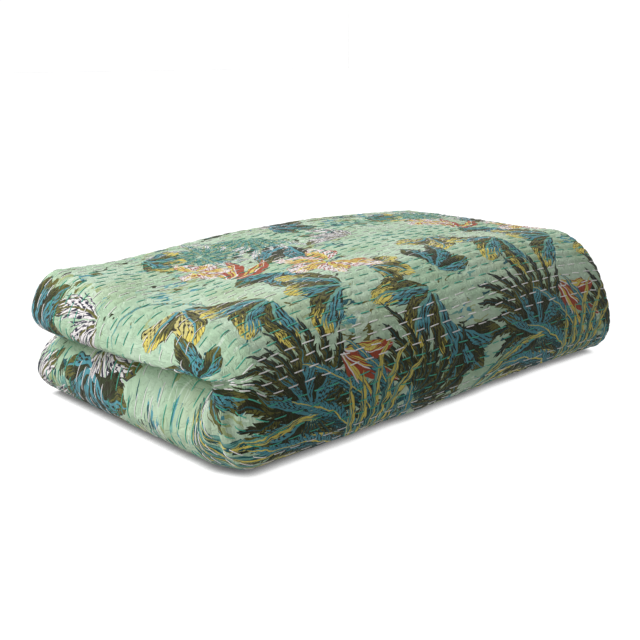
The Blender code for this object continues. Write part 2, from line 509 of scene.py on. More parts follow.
@dataclass
class RunningStitch:
    """Plans the quilting: where each stitch of each row lies on the cloth, and in which thread."""

    along: Ruler
    across: Ruler
    row_pitch: float = 0.012
    stitch: float = 0.0155
    gap: float = 0.0052
    uneven: float = 0.0011  # in the length of a stitch or a gap
    drift: float = 0.0005  # of a stitch's ends across its row
    groups: tuple[tuple[ThreadColour, int], ...] = (
        (ThreadColour.TEAL, 5),
        (ThreadColour.WHITE, 4),
        (ThreadColour.TEAL, 4),
        (ThreadColour.WHITE, 5),
    )
    first_of_group: int = 23  # the row, counted from the back of the top, that begins a group
    hem: float = 0.010
    seed: int = 71
    sample: float = 0.001  # of the table of what lies under a stitch
    end_blur: float = 0.9  # millimetres past a stitch's end where the thread is all below
    spare: int = 4  # stitches drawn for a row beyond what fits, as some are short

    def __post_init__(self) -> None:
        """Lays out every row, and keeps a table of where the thread is on top."""
        low, high = self.across.lengths[0] + self.hem, self.across.lengths[-1] - self.hem
        self.start_along = float(self.along.lengths[0])
        end_along = float(self.along.lengths[-1])
        first, last = math.ceil(low / self.row_pitch), math.floor(high / self.row_pitch)
        self.rows = np.arange(first, last + 1)
        samples = math.ceil((end_along - self.start_along) / self.sample) + 1
        self.on_top = np.zeros((len(self.rows), samples))
        starts, ends, rows = [], [], []
        rng = np.random.default_rng(self.seed)
        for index, row in enumerate(self.rows):
            count = int((end_along - self.start_along) / (self.stitch + self.gap)) + self.spare
            stitches = self.stitch + self.uneven * rng.standard_normal(count)
            gaps = self.gap + self.uneven * rng.standard_normal(count)
            begin = self.start_along + self.hem + np.cumsum(stitches + gaps) - stitches
            begin = begin - rng.uniform(0, self.stitch + self.gap)
            kept = (begin > self.start_along + self.hem) & (begin + stitches < end_along - self.hem)
            begin, finish = begin[kept], (begin + stitches)[kept]
            at = self.start_along + np.arange(samples) * self.sample
            inside = self._signed(at, begin, finish)
            self.on_top[index] = smooth_step(-self.end_blur, self.end_blur, inside)
            starts.append(begin)
            ends.append(finish)
            rows.append(np.full(len(begin), row))
        self.starts, self.ends = np.concatenate(starts), np.concatenate(ends)
        self.row_of = np.concatenate(rows)
        self.wander = self.drift * rng.standard_normal((len(self.starts), 2))

    def _signed(self, at: np.ndarray, begin: np.ndarray, finish: np.ndarray) -> np.ndarray:
        """Gives how far inside a stitch each sample lies, in millimetres, and below 0 outside."""
        nearest = np.clip(np.searchsorted(begin, at) - 1, 0, len(begin) - 1)
        return np.minimum(at - begin[nearest], finish[nearest] - at) / MM

    def colour_of(self, row: int) -> ThreadColour:
        """Gives the thread of a row, counted from the back of the top."""
        cycle = [colour for colour, count in self.groups for _ in range(count)]
        return cycle[(row - self.first_of_group) % len(cycle)]

    def thread_above(self, along: np.ndarray, across: np.ndarray) -> np.ndarray:
        """Looks up whether a row's thread lies on top at each place.

        Args:
            along: lengths along the rows.
            across: lengths across the rows.

        Returns:
            1 where it does, 0 where it runs below, and between them near a stitch's end.
        """
        row = np.round(across / self.row_pitch).astype(int) - self.rows[0]
        at = np.round((along - self.start_along) / self.sample).astype(int)
        return self.on_top[
            np.clip(row, 0, len(self.rows) - 1), np.clip(at, 0, self.on_top.shape[1] - 1)
        ]


@dataclass(frozen=True)
class Crease:
    """A soft trough or ridge across the cloth, placed as listed."""

    path: tuple[tuple[float, float], ...]  # metres along and across, from the wrap's corner
    width: float
    depth: float  # below 0 raises a ridge

    def depth_at(self, along: np.ndarray, across: np.ndarray) -> np.ndarray:
        """Works out how deep the crease is at each place.

        Args:
            along: lengths along the rows.
            across: lengths across the rows.

        Returns:
            The depth in metres.
        """
        places = np.column_stack([along, across])
        nearest = np.full(len(places), np.inf)
        for start, end in zip(np.array(self.path), np.array(self.path[1:])):
            way = end - start
            share = np.clip((places - start) @ way / (way @ way), 0, 1)
            off = np.linalg.norm(places - start - share[:, None] * way, axis=1)
            nearest = np.minimum(nearest, off)
        return self.depth * np.exp(-((nearest / self.width) ** 2))


CREASES = (
    # The valley between the lower lobe and the near corner, and the rolled edge beside it.
    Crease(path=((0.036, 0.402), (0.041, 0.421), (0.048, 0.445)), width=0.0055, depth=0.0050),
    Crease(path=((0.050, 0.400), (0.050, 0.422), (0.060, 0.442)), width=0.0060, depth=-0.0028),
    # The notch beside the front flap.
    Crease(
        path=((0.062, 0.390), (0.058, 0.403), (0.062, 0.415), (0.070, 0.423)),
        width=0.0045, depth=0.0050,
    ),
    # Three tucks that run towards the notch.
    Crease(path=((0.048, 0.345), (0.068, 0.268)), width=0.0050, depth=0.0026),
    Crease(path=((0.060, 0.350), (0.092, 0.292)), width=0.0050, depth=0.0022),
    Crease(path=((0.040, 0.330), (0.046, 0.250)), width=0.0045, depth=0.0020),
)


@dataclass
class QuiltSheet:
    """The quilt as one closed sheet of cloth, folded, quilted in rows and creased."""

    stack: FoldedStack
    turn_steps: int = 10  # flats round each turn
    span_steps: tuple[int, int] = (8, 4)  # steps of a flat stretch between turns, along u and v
    fine_step: float = 0.0037  # between the fine lines along the rows
    lines_in_row: int = 6  # fine lines from one row to the next
    least_step: float = 0.0004  # a fine line nearer than this to another is left out
    row_relief: float = 0.00045  # how far the cloth swells between two rows
    row_groove: float = 0.0022  # half the width of the groove that a row lies in
    groove_depth: float = 0.0002  # of the groove where the thread runs below
    stitch_depth: float = 0.0002  # added to it under a stitch
    crinkle: LatticeNoise = LatticeNoise(cell=(0.0065, 0.015), seed=5)
    crinkle_height: float = 0.0005
    slack: LatticeNoise = LatticeNoise(cell=(0.045, 0.060), seed=9)
    slack_height: float = 0.0007
    fade: float = 0.012
    ruler_steps: int = 6000  # in which a line over the stack is measured
    creases: tuple[Crease, ...] = CREASES
    along: Ruler = field(init=False)
    across: Ruler = field(init=False)
    stitching: RunningStitch = field(init=False)
    shift: Points = field(init=False)

    def __post_init__(self) -> None:
        """Measures the settled stack, plans its rows and sets it on the CAD solid's box."""
        wrap = self.stack.wrap()
        stack, folds = self.stack, self.stack.folds
        back, front = folds[stack.back_fold].at, folds[stack.front_fold].at
        middle_of_top = (back * stack.length + front * stack.length) / 2
        self.along = self._ruler(Axis.ALONG_ROWS, middle_of_top, wrap.left)
        left, right = folds[stack.left_fold].at, folds[stack.right_fold].at
        self.across = self._ruler(Axis.ACROSS_ROWS, (left + right) / 2 * stack.width, wrap.back)
        self.stitching = RunningStitch(self.along, self.across)
        self.shift = np.zeros(3)
        u, v = (self.coarse_lines(axis) for axis in Axis)
        grid = np.stack(np.meshgrid(u, v, indexing="ij"), -1).reshape(-1, 2)
        places = self.on_side(grid[:, 0], grid[:, 1], 0.0)
        low, high = places.min(axis=0), places.max(axis=0)
        box_low, box_high = (np.array(corner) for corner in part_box("quilt"))
        self.shift = (box_low + box_high) / 2 - (low + high) / 2
        self.shift[2] = box_low[2] - low[2]

    def _ruler(self, axis: Axis, at: float, zero: float) -> Ruler:
        """Measures the outer side along a line of the cloth.

        Args:
            axis: the way that the line runs.
            at: where it lies on the other axis.
            zero: the flat place that counts as 0.

        Returns:
            The ruler, with its lengths from zero.
        """
        places = np.linspace(0, self.stack.size(axis), self.ruler_steps + 1)
        flat = np.empty((len(places), 3))
        flat[:, axis.value] = places
        flat[:, 1 - axis.value] = at
        flat[:, 2] = -self.stack.cloth / 2
        steps = np.linalg.norm(np.diff(self.stack.settled(flat), axis=0), axis=1)
        lengths = np.concatenate([[0], np.cumsum(steps)])
        return Ruler(places, lengths - np.interp(zero, places, lengths))

    def coarse_lines(self, axis: Axis) -> np.ndarray:
        """Lists where the whole sheet is divided: closely round each turn, widely between.

        Args:
            axis: the way that the lines are counted in.

        Returns:
            Their flat places, in order.
        """
        size, span_steps = self.stack.size(axis), self.span_steps[axis.value]
        lines = [np.array([0.0]), np.array([size])]
        for index, fold in enumerate(self.stack.folds):
            if fold.axis is axis:
                half = self.stack.half_turn(index)
                turn = np.linspace(-half, half, self.turn_steps + 1)
                lines += [place + turn for place in self.stack.places_on_flat(index)]
        lines.sort(key=lambda turn: turn[0])
        spans = [np.linspace(a[-1], b[0], span_steps + 1)[1:-1] for a, b in pairwise(lines)]
        return np.sort(np.concatenate(lines + spans))

    def fine_lines(self, axis: Axis) -> np.ndarray:
        """Lists the extra lines of the wrap, evenly spaced over its outer side.

        Args:
            axis: the way that the lines are counted in.

        Returns:
            Their flat places, in order, without those that fall on another line.
        """
        wrap = self.stack.wrap()
        if axis is Axis.ALONG_ROWS:
            ruler, step, (low, high) = self.along, self.fine_step, (wrap.left, wrap.right)
        else:
            ruler, step = self.across, self.stitching.row_pitch / self.lines_in_row
            low, high = wrap.back, wrap.front
        lengths = ruler.length_at(np.array([low, high]))
        count = np.arange(math.ceil(lengths[0] / step), math.floor(lengths[1] / step) + 1)
        fine = ruler.place_at(count * step)
        coarse = self.coarse_lines(axis)
        nearest = np.abs(fine[:, None] - coarse[None, :]).min(axis=1)
        return fine[(nearest > self.least_step) & (fine > low) & (fine < high)]

    def relief(self, u: np.ndarray, v: np.ndarray) -> np.ndarray:
        """Works out how far the outer side stands proud of the plain sheet.

        Args:
            u: flat places along the rows.
            v: flat places across the rows.

        Returns:
            The relief at each place: grooves at the rows, pillows and crinkles between them.
        """
        along, across = self.along.length_at(u), self.across.length_at(v)
        pitch = self.stitching.row_pitch
        off_row = across - np.round(across / pitch) * pitch
        groove = np.exp(-((off_row / self.row_groove) ** 2))
        thread = self.stitching.thread_above(along, across)
        between = 1 - groove
        height = (
            -np.cos(across * 2 * math.pi / pitch) * self.row_relief / 2
            - groove * (self.groove_depth + self.stitch_depth * thread)
            + between * self.crinkle_height * self.crinkle.height(along, across)
            + self.slack_height * self.slack.height(along, across)
            - sum(crease.depth_at(along, across) for crease in self.creases)
        )
        return height * self.stack.wrap().fade(np.column_stack([u, v]), self.fade)

    def on_side(self, u: np.ndarray, v: np.ndarray, above: np.ndarray | float) -> Points:
        """Finds places on the outer side of the folded cloth, or a little above it.

        Args:
            u: flat places along the rows.
            v: flat places across the rows.
            above: the height over the plain outer side, in metres.

        Returns:
            The places in the frame of the part.
        """
        w = -self.stack.cloth / 2 - above * np.ones_like(u)
        return self.stack.settled(np.column_stack([u, v, w])) + self.shift

    def build(self) -> bpy.types.Object:
        """Makes the sheet, with its two UV maps.

        Returns:
            The quilt, not yet dressed.
        """
        wrap = self.stack.wrap()
        coarse = [self.coarse_lines(axis) for axis in Axis]
        lines = [np.sort(np.concatenate([c, self.fine_lines(a)])) for c, a in zip(coarse, Axis)]
        is_coarse = [np.isin(merged, c) for merged, c in zip(lines, coarse)]
        u, v = lines
        inside_u = (u >= wrap.left - HAIR) & (u <= wrap.right + HAIR)
        inside_v = (v >= wrap.back - HAIR) & (v <= wrap.front + HAIR)
        present = np.outer(is_coarse[0], is_coarse[1]) | np.outer(inside_u, inside_v)
        outer = np.full(present.shape, -1)
        outer[present] = np.arange(present.sum())
        stops = [np.flatnonzero(flag) for flag in is_coarse]
        reverse = np.full(present.shape, -1)
        crossings = np.arange(len(stops[0]) * len(stops[1])).reshape(len(stops[0]), -1)
        reverse[np.ix_(*stops)] = present.sum() + crossings
        faces, fine_faces = self._cells(outer, reverse, stops, inside_u, inside_v)
        at_u, at_v = np.nonzero(present)
        back_u, back_v = np.nonzero(reverse >= 0)
        flat_u = np.concatenate([u[at_u], u[back_u]])
        flat_v = np.concatenate([v[at_v], v[back_v]])
        places = np.concatenate([
            self.on_side(u[at_u], v[at_v], self.relief(u[at_u], v[at_v])),
            self.on_side(u[back_u], v[back_v], -self.stack.cloth),
        ])
        mesh = bpy.data.meshes.new("folded quilt")
        mesh.from_pydata(places.tolist(), [], faces)
        mesh.shade_smooth()
        self._lay_out_maps(mesh, flat_u, flat_v, fine_faces, first_reverse=len(at_u))
        return put_in_scene("folded_quilt", mesh)

    def _cells(
        self, outer: np.ndarray, reverse: np.ndarray, stops: list[np.ndarray],
        inside_u: np.ndarray, inside_v: np.ndarray,
    ) -> tuple[list[list[int]], int]:
        """Lists the faces of the sheet: fine ones on the wrap, coarse ones elsewhere, and the hem.

        Args:
            outer: the vertex of each crossing of lines on the outer side, or -1.
            reverse: the same on the other side.
            stops: which lines along each axis are coarse.
            inside_u: which lines along u lie on the wrap.
            inside_v: which lines along v lie on the wrap.

        Returns:
            The faces, and how many of the first of them are on the wrap's outer side.
        """
        faces: list[list[int]] = []
        for i, j in pairwise(np.flatnonzero(inside_u)):
            for k, m in pairwise(np.flatnonzero(inside_v)):
                faces.append([outer[i, k], outer[i, m], outer[j, m], outer[j, k]])
        fine_count = len(faces)
        for i, j in pairwise(stops[0]):
            for k, m in pairwise(stops[1]):
                if not (inside_u[i] and inside_u[j] and inside_v[k] and inside_v[m]):
                    rim = [*outer[i, k:m], *outer[i:j, m], *outer[j, m:k:-1], *outer[j:i:-1, k]]
                    faces.append([vertex for vertex in rim if vertex >= 0])
                faces.append([reverse[i, k], reverse[j, k], reverse[j, m], reverse[i, m]])
        for i, j in pairwise(stops[0]):
            faces.append([outer[i, 0], outer[j, 0], reverse[j, 0], reverse[i, 0]])
            faces.append([outer[j, -1], outer[i, -1], reverse[i, -1], reverse[j, -1]])
        for k, m in pairwise(stops[1]):
            faces.append([outer[0, m], outer[0, k], reverse[0, k], reverse[0, m]])
            faces.append([outer[-1, k], outer[-1, m], reverse[-1, m], reverse[-1, k]])
        return [[int(vertex) for vertex in face] for face in faces], fine_count

    def _lay_out_maps(
        self, mesh: bpy.types.Mesh, u: np.ndarray, v: np.ndarray, fine_faces: int,
        first_reverse: int,
    ) -> None:
        """Gives the sheet a map in metres for its print, and a packed one for a bake of it.

        Args:
            mesh: the sheet.
            u: each vertex's flat place along the rows.
            v: each vertex's flat place across the rows.
            fine_faces: how many of the first faces are on the wrap's outer side.
            first_reverse: the first vertex of the other side.
        """
        vertex = np.empty(len(mesh.loops), int)
        mesh.loops.foreach_get("vertex_index", vertex)
        totals = np.empty(len(mesh.polygons), int)
        mesh.polygons.foreach_get("loop_total", totals)
        face = np.repeat(np.arange(len(totals)), totals)
        along, across = self.along.length_at(u), self.across.length_at(v)
        printed = np.column_stack([along, across])[vertex]
        mesh.uv_layers.new(name=PRINT_MAP).uv.foreach_set("vector", printed.ravel())
        wrap = self.stack.wrap()
        wide = self.along.length_at(np.array([wrap.left, wrap.right]))
        deep = self.across.length_at(np.array([wrap.back, wrap.front]))
        on_wrap = np.column_stack([
            BAKE_EDGE + (1 - 2 * BAKE_EDGE) * (along - wide[0]) / (wide[1] - wide[0]),
            BAKE_EDGE + (BAKE_WRAP - 2 * BAKE_EDGE) * (across - deep[0]) / (deep[1] - deep[0]),
        ])
        side = 1 - BAKE_WRAP
        share_u, share_v = u / self.stack.width, v / self.stack.length
        rest = np.column_stack([share_u * side, BAKE_WRAP + share_v * (side - BAKE_EDGE)])[vertex]
        rest[vertex >= first_reverse, 0] += 2 * side
        packed = np.where((face < fine_faces)[:, None], on_wrap[vertex], rest)
        mesh.uv_layers.new(name=BAKE_MAP).uv.foreach_set("vector", packed.ravel())
        mesh.uv_layers.active = mesh.uv_layers[PRINT_MAP]
        mesh.uv_layers[PRINT_MAP].active_render = True


@dataclass
class Threads:
    """The running stitches that show, as short raised lengths of soft cotton thread."""

    sheet: QuiltSheet
    thread: float = 0.0012  # the width of one stitch
    pressed: float = 0.6  # its height as a share of that, as washing leaves it
    rings: int = 7
    sides: int = 6
    rise: float = 0.0004  # of the middle of a stitch over the cloth
    dive: float = 0.0008  # of its ends into the cloth
    flatness: float = 7.0  # more makes a stitch straighter between its ends
    tapered: float = 0.55  # share of the thickness left at its ends
    clear: float = 0.007  # room that a stitch has over it, or it is hidden between layers
    off_floor: float = 0.004
    probe: float = 0.0015

    def showing(self, sheet: bpy.types.Object) -> np.ndarray:
        """Finds the stitches that aren't hidden between layers or under the stack.

        Args:
            sheet: the folded quilt.

        Returns:
            True for each stitch that shows.
        """
        plan = self.sheet.stitching
        u = self.sheet.along.place_at((plan.starts + plan.ends) / 2)
        v = self.sheet.across.place_at(plan.row_of * plan.row_pitch)
        relief = self.sheet.relief(u, v)
        at = self.sheet.on_side(u, v, relief + self.probe)
        out = self.sheet.on_side(u, v, relief + 2 * self.probe) - at
        out /= np.linalg.norm(out, axis=1)[:, None]
        tree = BVHTree.FromPolygons(
            [vertex.co for vertex in sheet.data.vertices],
            [polygon.vertices for polygon in sheet.data.polygons],
        )
        covered = [
            tree.ray_cast(Vector(place), Vector(way), self.clear)[0] is not None
            for place, way in zip(at, out)
        ]
        return ~np.array(covered) & (at[:, 2] > self.off_floor)

    def build(self, colour: ThreadColour, shown: np.ndarray) -> bpy.types.Object:
        """Makes every shown stitch of one thread, joined in one mesh.

        Args:
            colour: the thread.
            shown: True for each stitch that shows.

        Returns:
            The stitches, not yet dressed.
        """
        plan = self.sheet.stitching
        rows = np.array([plan.colour_of(row) is colour for row in plan.row_of])
        kept = rows & shown
        starts, ends, row = plan.starts[kept], plan.ends[kept], plan.row_of[kept]
        share = np.linspace(0, 1, self.rings)
        along = starts[:, None] + (ends - starts)[:, None] * share
        wander = plan.wander[kept]
        across = row[:, None] * plan.row_pitch + wander[:, :1] + np.diff(wander) * share
        arch = 1 - np.abs(2 * share - 1) ** self.flatness
        above = arch * (self.rise + self.dive) - self.dive
        u, v = (
            ruler.place_at(lengths.ravel())
            for ruler, lengths in ((self.sheet.along, along), (self.sheet.across, across))
        )
        lift = self.sheet.relief(u, v) + np.tile(above, len(starts))
        shape = (len(starts), self.rings, 3)
        centre = self.sheet.on_side(u, v, lift).reshape(shape)
        out = self.sheet.on_side(u, v, lift + self.probe).reshape(shape) - centre
        out /= np.linalg.norm(out, axis=2)[..., None]
        ahead = np.gradient(centre, axis=1)
        beside = np.cross(out, ahead)
        beside /= np.linalg.norm(beside, axis=2)[..., None]
        radius = self.thread / 2 * (self.tapered + (1 - self.tapered) * arch)
        angle = np.arange(self.sides) * 2 * math.pi / self.sides
        ring = (
            np.cos(angle)[None, None, :, None] * beside[:, :, None]
            + np.sin(angle)[None, None, :, None] * out[:, :, None] * self.pressed
        )
        places = centre[:, :, None] + ring * radius[None, :, None, None]
        return self._mesh_of(colour, places)

    def _mesh_of(self, colour: ThreadColour, places: np.ndarray) -> bpy.types.Object:
        """Joins rings of vertices to closed tubes.

        Args:
            colour: the thread.
            places: for each stitch, each ring and each side, a vertex.

        Returns:
            The joined tubes.
        """
        tube = []
        for ring in range(self.rings - 1):
            for side in range(self.sides):
                near, far = ring * self.sides, (ring + 1) * self.sides
                after = (side + 1) % self.sides
                tube.append([near + side, near + after, far + after, far + side])
        caps = np.array([
            list(range(self.sides))[::-1],
            [(self.rings - 1) * self.sides + side for side in range(self.sides)],
        ])
        first = np.arange(len(places))[:, None, None] * self.rings * self.sides
        faces = (np.array(tube) + first).reshape(-1, 4)
        ends = (caps + first).reshape(-1, self.sides)
        mesh = bpy.data.meshes.new(f"{colour.name.lower()} thread")
        mesh.from_pydata(places.reshape(-1, 3).tolist(), [], faces.tolist() + ends.tolist())
        mesh.shade_smooth()
        return put_in_scene(f"{colour.name.lower()}_stitches", mesh)


def add_node(
    tree: Tree,
    kind: str,
    inputs: Sequence | Mapping = (),
    output: int | str = 0,
    **settings: object,
) -> Socket:
    """Adds a node with its settings and links.

    Args:
        tree: where the node goes.
        kind: Blender's name of the node, without "ShaderNode".
        inputs: a value or a socket for each input, in order or by name or number.
        output: which output to hand back, by name or number.
        **settings: the node's own properties.

    Returns:
        The output socket.
    """
    node = tree.nodes.new(f"ShaderNode{kind}")
    for name, value in settings.items():
        setattr(node, name, value)
    pairs = inputs.items() if isinstance(inputs, Mapping) else enumerate(inputs)
    for key, value in pairs:
        if isinstance(value, Socket):
            tree.links.new(value, node.inputs[key])
        elif value is not None:
            node.inputs[key].default_value = value
    return node.outputs[output]


def new_finish(
    name: str, values: Mapping[str, object]
) -> tuple[bpy.types.Material, bpy.types.Node]:
    """Starts a material.

    Args:
        name: what the finish is.
        values: what is the same all over it, by the name of the shader's input.

    Returns:
        The material and its shader.
    """
    material = bpy.data.materials.new(name)
    material.use_nodes = True
    shader = material.node_tree.nodes["Principled BSDF"]
    for socket, value in values.items():
        shader.inputs[socket].default_value = value
    return material, shader


# A step with soft ends, kept without the extra clamp that would crowd Cycles' own memory.
SOFT_STEP = {"clamp": False, "interpolation_type": "SMOOTHSTEP"}
OVERPRINT = {"output": 2, "data_type": "RGBA"}
# The steps of a drawing that aren't plain sums: the node, the inputs given to it, its settings.
STEP_KINDS = {
    "STEP": ("MapRange", (0, 1, 2, 3, 4), SOFT_STEP),
    "INK": ("Mix", (0, 6, 7), OVERPRINT),
    "GRAIN": ("TexNoise", ("W", "Scale", "Detail"), {"noise_dimensions": "1D"}),
    "PATCHES": (
        "TexNoise", ("Vector", "Scale", "Detail", "Distortion", "Roughness"),
        {"noise_dimensions": "2D"},
    ),
    "CELLS": ("TexVoronoi", ("Vector", "Scale"), {"output": "Color", "voronoi_dimensions": "2D"}),
    "STRETCH": ("Mapping", ("Vector", "Scale", "Rotation"), {}),
    "ACROSS": ("SeparateXYZ", (0,), {"output": 1}),
    "LOT": ("SeparateColor", (0,), {"output": 1}),
    "RAISE": ("Bump", ("Strength", "Distance", "Height", "Normal"), {}),
}


def follow(tree: Tree, known: dict[str, Socket], steps: Sequence[tuple]) -> dict[str, Socket]:
    """Adds the nodes of a drawing, step by step.

    Args:
        tree: where the nodes go.
        known: the sockets that the first steps may name.
        steps: for each node its result's name, what it does (a sum, as the Math node names
            it, or one of STEP_KINDS), and its inputs: values or earlier results' names.

    Returns:
        The sockets known at the end.
    """
    known = dict(known)
    for result, does, *given in steps:
        kind, keys, settings = STEP_KINDS.get(does, ("Math", (0, 1, 2), {"operation": does}))
        inputs = {key: known.get(value, value) for key, value in zip(keys, given)}
        known[result] = add_node(tree, kind, inputs, **settings)
    return known


class Ink(Enum):
    """The dyes of the print, as they look on the cloth."""

    SAGE = "B4CEB1"
    PALE_SAGE = "C9DCC6"
    DEEP_SAGE = "9DBF9A"
    MOSS = "A3B27F"
    OLIVE = "64632B"
    DARK_OLIVE = "2A2A13"
    FOREST = "30391C"
    BLUE = "5397A3"
    DEEP_TEAL = "235A5F"
    SEA = "6FA79A"
    YELLOW = "DCCB62"
    STRAW = "C9C07A"
    RUST = "A4472A"
    OFF_WHITE = "ECE7E6"
    NAVY = "2B2D40"


@dataclass(frozen=True)
class Scheme:
    """The inks of one kind of leaf or petal."""

    upper: Ink
    lower: Ink
    tip: Ink
    stroke: Ink
    rib: Ink


LEAFY = Scheme(Ink.OLIVE, Ink.BLUE, Ink.YELLOW, Ink.DARK_OLIVE, Ink.SEA)
SHADED = Scheme(Ink.BLUE, Ink.FOREST, Ink.OLIVE, Ink.DARK_OLIVE, Ink.BLUE)
BLADE = Scheme(Ink.BLUE, Ink.DEEP_TEAL, Ink.BLUE, Ink.DARK_OLIVE, Ink.YELLOW)
PALM = Scheme(Ink.FOREST, Ink.OLIVE, Ink.DARK_OLIVE, Ink.DARK_OLIVE, Ink.DEEP_TEAL)
REED = Scheme(Ink.YELLOW, Ink.SEA, Ink.YELLOW, Ink.DEEP_TEAL, Ink.DEEP_TEAL)
GOLDEN = Scheme(Ink.STRAW, Ink.OLIVE, Ink.YELLOW, Ink.DARK_OLIVE, Ink.BLUE)
PLUME = Scheme(Ink.OFF_WHITE, Ink.OFF_WHITE, Ink.OLIVE, Ink.NAVY, Ink.OLIVE)
PETAL = Scheme(Ink.OFF_WHITE, Ink.YELLOW, Ink.OFF_WHITE, Ink.RUST, Ink.YELLOW)
HUSK = Scheme(Ink.RUST, Ink.YELLOW, Ink.RUST, Ink.RUST, Ink.OFF_WHITE)
STEM = Scheme(Ink.SEA, Ink.BLUE, Ink.SEA, Ink.OLIVE, Ink.SEA)
MIST = Scheme(Ink.SEA, Ink.MOSS, Ink.OFF_WHITE, Ink.DEEP_TEAL, Ink.SEA)


@dataclass(frozen=True)
class Spray:
    """One group of leaves or petals that spring from one point of the repeat."""

    at: tuple[float, float]  # millimetres along and across the rows
    turn: float  # degrees, the way that its middle leaf points
    leaves: int
    places: int  # leaves that would fill the whole circle
    length: float  # millimetres
    width: float  # half of the widest leaf, in millimetres
    bend: float  # how much a leaf curls, in degrees for each 100 mm
    comb: float  # depth of the teeth in a leaf's edge, as a share of its width
    slant: float  # of the drawn strokes to the rib: less runs along the leaf
    inks: Scheme


SPRAY_NUMBERS = (
    "X", "Y", "Middle X", "Middle Y", "Turn", "Leaves", "Step",
    "Length", "Width", "Bend", "Comb", "Slant", "Seed",
)
SPRAY_INKS = ("Upper", "Lower", "Tip", "Stroke", "Rib")

SPRAYS = (  # at, turn, leaves, places, length, width, bend, comb, slant and inks
    Spray((60, 150), 250, 4, 9, 92, 16.0, 30, 0.5, 0.30, PLUME),
    Spray((10, 668), 300, 5, 9, 92, 15.0, 30, 0.5, 0.30, PLUME),
    Spray((334, 122), 175, 4, 8, 88, 22, 30, 0.15, 0.30, SHADED),
    Spray((318, 60), 110, 9, 22, 90, 8.0, -35, 0.5, 0.9, MIST),
    Spray((236, 84), 0, 13, 13, 62, 8.0, 40, 0.4, 0.6, MIST),
    Spray((180, 50), 60, 4, 8, 66, 17, 30, 0.15, 0.30, LEAFY),
    Spray((285, 470), 272, 1, 6, 150, 2.6, 60, 0.0, 1.0, STEM),
    Spray((250, 205), 150, 3, 8, 76, 19, 30, 0.15, 0.30, SHADED),
    Spray((262, 286), 215, 4, 8, 98, 21, 30, 0.15, 0.30, LEAFY),
    Spray((312, 262), 20, 3, 9, 74, 16, -30, 0.15, 0.30, GOLDEN),
    Spray((128, 250), 300, 1, 6, 125, 2.6, 70, 0.0, 1.0, STEM),
    Spray((112, 216), 100, 4, 7, 72, 19, -35, 0.15, 0.30, GOLDEN),
    Spray((176, 268), 170, 4, 8, 84, 20, 30, 0.15, 0.30, LEAFY),
    Spray((196, 186), 330, 3, 12, 90, 9.5, 30, 0.0, 0.12, HUSK),
    Spray((196, 130), 40, 5, 6, 42, 13.0, 20, 0.2, 0.40, PETAL),
    Spray((306, 214), 190, 5, 6, 60, 18.0, 25, 0.2, 0.40, PETAL),
    Spray((10, 322), 165, 4, 8, 92, 21, 30, 0.15, 0.30, LEAFY),
    Spray((34, 300), 330, 3, 9, 68, 15, 30, 0.15, 0.30, SHADED),
    Spray((14, 368), 75, 4, 9, 78, 17, 30, 0.15, 0.30, SHADED),
    Spray((286, 428), 335, 11, 24, 112, 8.5, 35, 0.5, 0.9, PALM),
    Spray((148, 400), 20, 27, 27, 108, 8.0, 25, 0.5, 0.9, PALM),
    Spray((148, 402), 230, 5, 9, 76, 16, -25, 0.3, 0.6, SHADED),
    Spray((16, 506), 296, 6, 36, 190, 6.0, -28, 0.2, 0.12, REED),
    Spray((206, 352), 60, 4, 12, 84, 10, 30, 0.0, 0.12, HUSK),
    Spray((228, 520), 276, 7, 20, 175, 16, 26, 0.5, 0.9, BLADE),
    Spray((236, 500), 240, 5, 34, 160, 6.5, -30, 0.2, 0.12, REED),
    Spray((150, 560), 120, 4, 10, 90, 9.5, 20, 0.0, 0.12, HUSK),
    Spray((130, 590), 250, 5, 7, 84, 22, 30, 0.15, 0.30, LEAFY),
    Spray((30, 30), 20, 5, 9, 70, 16.0, 30, 0.15, 0.30, SHADED),
)


